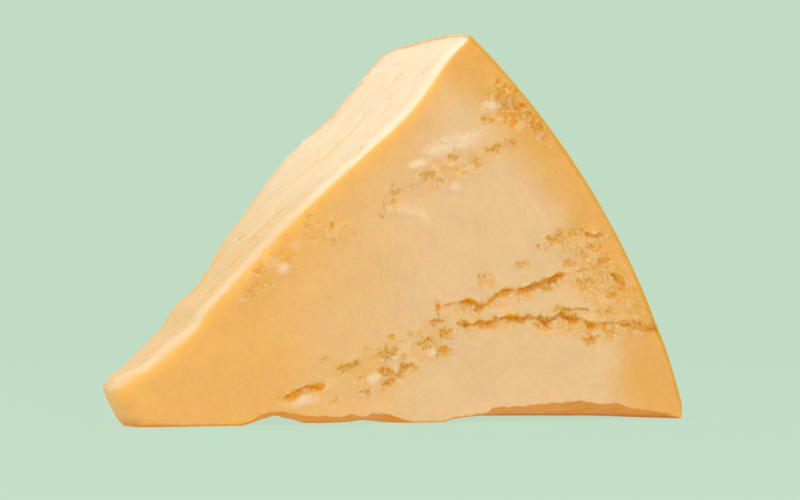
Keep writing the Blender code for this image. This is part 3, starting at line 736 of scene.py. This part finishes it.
patterns = {                      # the sizes of the noises, in mm
    "cloud": 38.0,
    "patches": 12.0,
    "worn": 7.0,
    "mottle": 3.2,
    "waxy": 1.8,
    "streaks": 1.6,
    "brushed": 1.4,
    "speckle": 0.9,
    "dust": 0.8,
    "fine": 0.5,
    "grit": 0.42,
}
zones = {                         # where one tone gives way to the next, in mm
    "warm": (8.0, -50.0),         # along x, towards the thin end
    "golden": (16.0, 1.0),        # below the ridge, where painted glow from the lit edge runs
    "ridge": (5.5, 0.5),          # below the ridge too, the painted glow's strongest part
    "amber": (19.0, 5.0),         # in from the rind
    "lowAmber": (22.0, 8.0),      # above the ground, where the amber reaches further in
    "edge": (8.0, 2.5),           # on the pale face, behind the ridge, where the painted highlight runs
    "upperBreak": (48.0, 58.0),   # above the ground, where the pits are more yellow
    "offRind": (12.0, 22.0),      # there only this far in from the rind
    "thinHalf": (20.0, -10.0),    # along x, where the pits of the low band are more yellow
    "bandTop": (34.0, 26.0),      # there above the ground
    "bandFoot": (10.0, 14.0),
    "foot": (1.6, 0.5),           # above the ground, on the underside, where a painted contact shadow darkens it
    "contactShadowEnd": (20.0, 40.0),      # there along x
    "skin": (1.9, 0.7),           # in from the rind
    "rindEdge": (2.5, 0.5),       # on the rind, behind the front face
}


def cheeseFinish(name, toned=0.0, glow=1.0):       # glow is how much light passes through it
    f = Finish(name)
    where = f.place()
    x, y, z = (f.add("ShaderNodeSeparateXYZ", None, {0: where}, out=k) for k in range(3))
    high, back = z / mm, y / mm + origin[1]            # mm above the ground and behind the front face
    slope = slopeWay()
    cloud, patches = f.noise(where, patterns["cloud"]), f.noise(where, patterns["patches"], 3.0)
    mottle, dust = f.noise(where, patterns["mottle"], 4.0, 0.62), f.noise(where, patterns["dust"], 3.0, 0.6)
    inside, below, upperFace = f.attribute("inside"), f.attribute("below"), f.attribute("upperFace")

    warm = f.between(x / mm + (cloud - 0.5) * 40, *zones["warm"])
    colour = f.mix(warm, paste["pale"], paste["golden"])
    # Painted light: a golden band under the ridge, deepest just below it, stands in for light glowing through
    # the lit edge.
    colour = f.mix(f.between(below + (patches - 0.5) * 6, *zones["golden"]) * 0.7, colour, paste["golden"])
    colour = f.mix(f.between(below + (patches - 0.5) * 2, *zones["ridge"]) * 0.8, colour, paste["ridge"])
    reach = inside - f.between(high, *zones["lowAmber"]) * 7 + (patches - 0.5) * 10
    colour = f.mix(f.between(reach, *zones["amber"]) * 0.9, colour, paste["amber"])

    along = (x / mm) * (slope[0] / 15) + (z / mm) * (slope[1] / 15)
    streaks = f.stretched(along * mm, y * 0.6, z * 0.1, 1.0)
    streaks = streaks * 0.45 + mottle * 0.3 + f.noise(where, patterns["streaks"], 3.0, 0.6) * 0.25
    upper = f.mix(f.between(streaks, 0.43, 0.62) * 0.75, f.mix(warm, paste["cream"], paste["warmCream"]),
                  f.mix(warm, paste["tan"], paste["warmTan"]))
    # Painted highlight: the pale face just behind the ridge turns cream, weaker towards the thin end.
    near = f.between(back + (patches - 0.5) * 9, *zones["edge"])
    upper = f.mix(near * (0.7 - warm * 0.4), upper, paste["edge"])
    upper = f.mix(f.attribute("rim") * f.between(mottle, 0.35, 0.6) * 0.8, upper, paste["rim"])
    # Partly painted light: the upper face's tones are paler and whiter for the strong light on it; its
    # streaks are its own.
    colour = f.mix(upperFace, colour, upper)

    ochre, crumbled = f.attribute("ochre"), f.attribute("crumbled")
    speckle, grit = f.noise(where, patterns["speckle"], 3.0, 0.65), f.noise(where, patterns["grit"], 2.0, 0.6)
    deep = f.between(ochre + (speckle - 0.5) * crumbled * 1.3 + (grit - 0.5) * crumbled * 1.2, 0.16, 0.75)
    stained = f.attribute("stained")
    golden = crumbled * 0.7 + stained * (0.3 + f.between(mottle * 0.6 + patches * 0.4, 0.4, 0.58) * 0.6)
    colour = f.mix(golden, colour, paste["loose"])
    rusty = f.between(stained, 0.7, 1.0) * f.between(mottle, 0.36, 0.48)
    colour = f.mix(rusty * 0.9, colour, paste["rust"])
    colour = f.mix(stained * f.between(mottle, 0.44, 0.34) * 0.6, colour, paste["fleck"])
    lowBand = f.between(high, *zones["bandTop"]) * f.between(high, *zones["bandFoot"])
    lowBand = lowBand * f.between(x / mm, *zones["thinHalf"])
    yellowed = f.between(high, *zones["upperBreak"]) * f.between(inside, *zones["offRind"]) + lowBand * 0.5
    # The crevices' deep orange: partly their own colour, partly painted shade.
    colour = f.mix(deep, colour, f.mix(yellowed, paste["crack"], paste["ochre"]))
    # Pale where raised: partly the flecks' own colour, partly painted highlight.
    colour = f.mix(f.attribute("bright") * 0.85 * (1 - deep * 0.85), colour, paste["fleck"])
    colour = f.mix(toned * (1 - deep * 0.4), colour, paste["crumb"])
    sparks = f.between(grit, 0.52, 0.6) * f.between(crumbled, 0.1, 0.5)
    colour = f.mix(sparks * (0.9 - deep * 0.8), colour, paste["spark"])
    # Painted shadow: the underside turns brown close to the ground, towards the rind end.
    contactShadow = f.between(high + (mottle - 0.5) * 3, *zones["foot"]) * f.between(x / mm, *zones["contactShadowEnd"])
    # Painted shade: faces that look down take a deep orange, the warm glow of the shade under the chunk.
    colour = f.mix(f.attribute("under"), colour, f.mix(contactShadow * 0.7, paste["under"], paste["foot"]))

    light = 1 + (mottle - 0.5) * 0.14 + (dust - 0.5) * 0.10 + (patches - 0.5) * 0.10
    shade = f.add("ShaderNodeCombineColor", None, {0: light, 1: light, 2: light})
    colour = f.mix(1.0, colour, shade, "MULTIPLY")

    skin = f.between(inside + (mottle - 0.5) * 1.2, *zones["skin"])
    brushed = f.stretched(x * 0.15, y * 1.6, z * 0.15, patterns["brushed"])
    worn = f.noise(where, patterns["worn"], 6.0, 0.7) * 0.6 + brushed * 0.4
    rindTone = f.mix(f.between(worn, 0.32, 0.68), paste["rind"], paste["rindDark"])
    rindTone = f.mix(f.between(back, *zones["rindEdge"]), rindTone, paste["rindEdge"])
    colour = f.mix(skin, colour, rindTone)

    f.put(f.shader.inputs["Base Color"], colour)
    f.put(f.shader.inputs["Roughness"], paste["roughness"] + (mottle - 0.5) * 0.2 - skin * 0.1)
    f.shader.inputs["Subsurface Weight"].default_value = paste["subsurface"] * glow
    f.shader.inputs["Subsurface Radius"].default_value = paste["radius"]
    f.shader.inputs["Subsurface Scale"].default_value = paste["scale"]
    f.shader.inputs["Specular IOR Level"].default_value = paste["gloss"]

    fine, waxy = f.noise(where, patterns["fine"], 3.0, 0.6), f.noise(where, patterns["waxy"], 4.0, 0.6)
    height = (waxy * 0.12 + fine * 0.05) * (1 - skin * 0.4) + skin * worn * 0.5
    height = height + crumbled * speckle * 0.5 + upperFace * streaks * (warm * 0.2 + 0.25)
    bump = f.add("ShaderNodeBump", None, {"Strength": paste["bump"], "Distance": mm, "Height": height})
    f.put(f.shader.inputs["Normal"], bump)
    return f.material


print("materials")
cheeseMaterial = cheeseFinish("cheesePaste")
crumbMaterial = cheeseFinish("cheeseCrumbs", toned=0.65, glow=0.0)
cheese.data.materials.clear()
cheese.data.materials.append(cheeseMaterial)
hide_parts("parmesan_chunk")
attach(cheese, "root")

crumbs = {
    "Density": 4.0e6,             # a square metre, where the cheese is fully crumbled
    "Size": 0.22 * mm,
    "Smallest": 0.5,              # as a share of the size
    "Largest": 1.6,
    "Unevenness": 0.3 * mm,
    "Roughness Size": 2600.0,     # waves a metre of the noise that makes them ragged
    "Flatness": 0.8,              # as a share of the width
    "Roundness": 1,               # how finely the lump is divided before it is made ragged
    "Depth": 0.06 * mm,           # how far a crumb's middle lies under the surface
    "Where": "loose",
    "Seed": 3,
}


fullTurns = (6.28, 6.28, 6.28)    # a crumb may lie any way round, about each axis


def scatterTree(name, sizes):     # ragged lumps strewn over a surface where an attribute says
    tree = bpy.data.node_groups.new(name, "GeometryNodeTree")
    kinds = {float: "Float", int: "Int", str: "String"}
    tree.interface.new_socket("Geometry", in_out="OUTPUT", socket_type="NodeSocketGeometry")
    tree.interface.new_socket("Geometry", in_out="INPUT", socket_type="NodeSocketGeometry")
    for key, value in sizes.items():
        tree.interface.new_socket(key, in_out="INPUT", socket_type="NodeSocket" + kinds[type(value)])
    tree.interface.new_socket("Material", in_out="INPUT", socket_type="NodeSocketMaterial")
    net = Net(tree)
    entry = net.node("NodeGroupInput")
    given = {socket.name: Wire(net, socket) for socket in entry.outputs if socket.name}
    here = net.add("GeometryNodeInputNamedAttribute", {"data_type": "FLOAT"}, {"Name": given["Where"]})
    strew = net.node("GeometryNodeDistributePointsOnFaces", {"distribute_method": "RANDOM"},
                     {"Mesh": given["Geometry"], "Density": given["Density"] * here, "Seed": given["Seed"]})
    sink = net.add("ShaderNodeVectorMath", {"operation": "SCALE"},
                   {0: Wire(net, strew.outputs["Normal"]), "Scale": 0 - given["Depth"]})
    points = Wire(net, strew.outputs["Points"])
    sunk = net.add("GeometryNodeSetPosition", None, {"Geometry": points, "Offset": sink})
    least, most = given["Smallest"] * given["Size"], given["Size"] * given["Largest"]
    size = net.add("FunctionNodeRandomValue", {"data_type": "FLOAT"},
                   {2: least, 3: most, "Seed": given["Seed"]}, out=1)
    turn = net.add("FunctionNodeRandomValue", {"data_type": "FLOAT_VECTOR"}, {1: fullTurns}, out=0)
    lump = net.add("GeometryNodeMeshIcoSphere", None, {"Radius": 1.0, "Subdivisions": given["Roundness"]})
    shape = net.add("ShaderNodeCombineXYZ", None, {0: size, 1: size, 2: size * given["Flatness"]})
    placed = net.add("GeometryNodeInstanceOnPoints", None,
                     {"Points": sunk, "Instance": lump, "Rotation": turn, "Scale": shape})
    loose = net.add("GeometryNodeRealizeInstances", None, {"Geometry": placed})
    ragged = net.add("ShaderNodeTexNoise", None,
                     {"Scale": given["Roughness Size"], "Detail": 1.0}, out="Color")
    push = net.add("ShaderNodeVectorMath", {"operation": "SUBTRACT"}, {0: ragged, 1: (0.5, 0.5, 0.5)})
    push = net.add("ShaderNodeVectorMath", {"operation": "SCALE"},
                   {0: push, "Scale": given["Unevenness"] * 2})
    uneven = net.add("GeometryNodeSetPosition", None, {"Geometry": loose, "Offset": push})
    done = net.add("GeometryNodeSetMaterial", None, {"Geometry": uneven, "Material": given["Material"]})
    net.node("NodeGroupOutput", None, {0: done})
    return tree


def scatter(name, tree, sizes, material):
    obj = newObject(name, cheese.data.copy())
    bits = obj.modifiers.new(name, "NODES")
    bits.node_group = tree
    for item in tree.interface.items_tree:
        if item.in_out == "INPUT" and item.name in sizes:
            bits[item.identifier] = sizes[item.name]
        if item.in_out == "INPUT" and item.name == "Material":
            bits[item.identifier] = material
    bakeModifiers(obj)
    obj.data.shade_smooth()
    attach(obj, "root")
    print(name + ":", len(obj.data.polygons), "faces")
    return obj


print("crumbs")
scatterLumps = scatterTree("scatterLumps", crumbs)
scatter("crumbs", scatterLumps, crumbs, crumbMaterial)

studio = {
    "floorRadius": 1.3,
    "bend": 0.9,
    "wall": 2.2,
    "tone": tint(195, 222, 199),
    "glow": 0.9,                  # how much of the backdrop's brightness is its own, for an even tone
    "sky": 0.72,
    "skyTone": (1.0, 0.985, 0.96, 1),
}


def makeStage():                  # a floor that bends up into a wall all round; it casts no light or shade
    profile = [(r, 0.0) for r in (0.3, 0.8, studio["floorRadius"])]
    for angle in np.linspace(0, math.pi / 2, 16)[1:]:
        profile.append((studio["floorRadius"] + studio["bend"] * math.sin(angle),
                        studio["bend"] * (1 - math.cos(angle))))
    profile.append((profile[-1][0], studio["wall"]))
    mesh = bmesh.new()
    rings = []
    for radius, height in profile:
        rings.append([mesh.verts.new((radius * math.cos(a), radius * math.sin(a), height))
                      for a in np.linspace(0, 2 * math.pi, 96, endpoint=False)])
    mesh.faces.new(rings[0])
    for near, far in zip(rings, rings[1:]):
        for i in range(len(near)):
            mesh.faces.new((near[i], far[i], far[i - 1], near[i - 1]))
    bmesh.ops.recalc_face_normals(mesh, faces=mesh.faces)
    if mesh.faces[0].normal.z < 0:
        bmesh.ops.reverse_faces(mesh, faces=mesh.faces)
    data = bpy.data.meshes.new("stage")
    mesh.to_mesh(data)
    mesh.free()
    data.shade_smooth()
    stage = newObject("stage", data)
    f = Finish("paleStage")
    own = studio["glow"]
    f.shader.inputs["Base Color"].default_value = (*(c * (1 - own) for c in studio["tone"][:3]), 1)
    f.shader.inputs["Emission Color"].default_value = studio["tone"]
    f.shader.inputs["Emission Strength"].default_value = own
    f.shader.inputs["Roughness"].default_value = 1.0
    f.shader.inputs["Specular IOR Level"].default_value = 0.0
    data.materials.append(f.material)
    stage.visible_diffuse = stage.visible_glossy = stage.visible_transmission = False
    stage.visible_shadow = False


def aim(obj, at, towards):
    obj.location = at
    obj.rotation_euler = (Vector(towards) - Vector(at)).to_track_quat("-Z", "Y").to_euler()


def around(azimuth, elevation, distance):
    a, e = math.radians(azimuth), math.radians(elevation)
    return Vector((math.sin(a) * math.cos(e), -math.cos(a) * math.cos(e), math.sin(e))) * distance


lamps = {                         # azimuth, elevation, distance, size in metres, watts
    "key": (-88, 42, 1.1, 0.7, 3.6),
    "front": (-8, 24, 1.1, 1.0, 3.6),
    "behind": (165, 50, 1.2, 0.8, 1.6),
}


def makeLights():                 # all of them aim at the chunk's middle
    for name, (azimuth, elevation, distance, size, power) in lamps.items():
        light = bpy.data.lights.new(name, "AREA")
        light.size, light.energy = size, power
        lamp = newObject(name, light)
        aim(lamp, around(azimuth, elevation, distance), (0, 0, 0.045))
    world = bpy.data.worlds.new("studioSky")
    bpy.context.scene.world = world
    world.use_nodes = True
    world.node_tree.nodes["Background"].inputs[0].default_value = studio["skyTone"]
    world.node_tree.nodes["Background"].inputs[1].default_value = studio["sky"]


shot = {"azimuth": -24.0, "elevation": -2.24, "distance": 0.5784, "aim": (0.0, 0.0, 44.97), "lens": 100}


def makeCamera():
    camera = bpy.data.cameras.new("camera")
    camera.lens, camera.sensor_width, camera.clip_start = shot["lens"], 36, 0.02
    obj = newObject("camera", camera)
    target = Vector((np.array(shot["aim"]) - origin) * mm)
    aim(obj, target + around(shot["azimuth"], shot["elevation"], shot["distance"]), target)
    bpy.context.scene.camera = obj


print("studio")
makeStage()
makeLights()
makeCamera()
bpy.context.scene.view_settings.view_transform = "Standard"
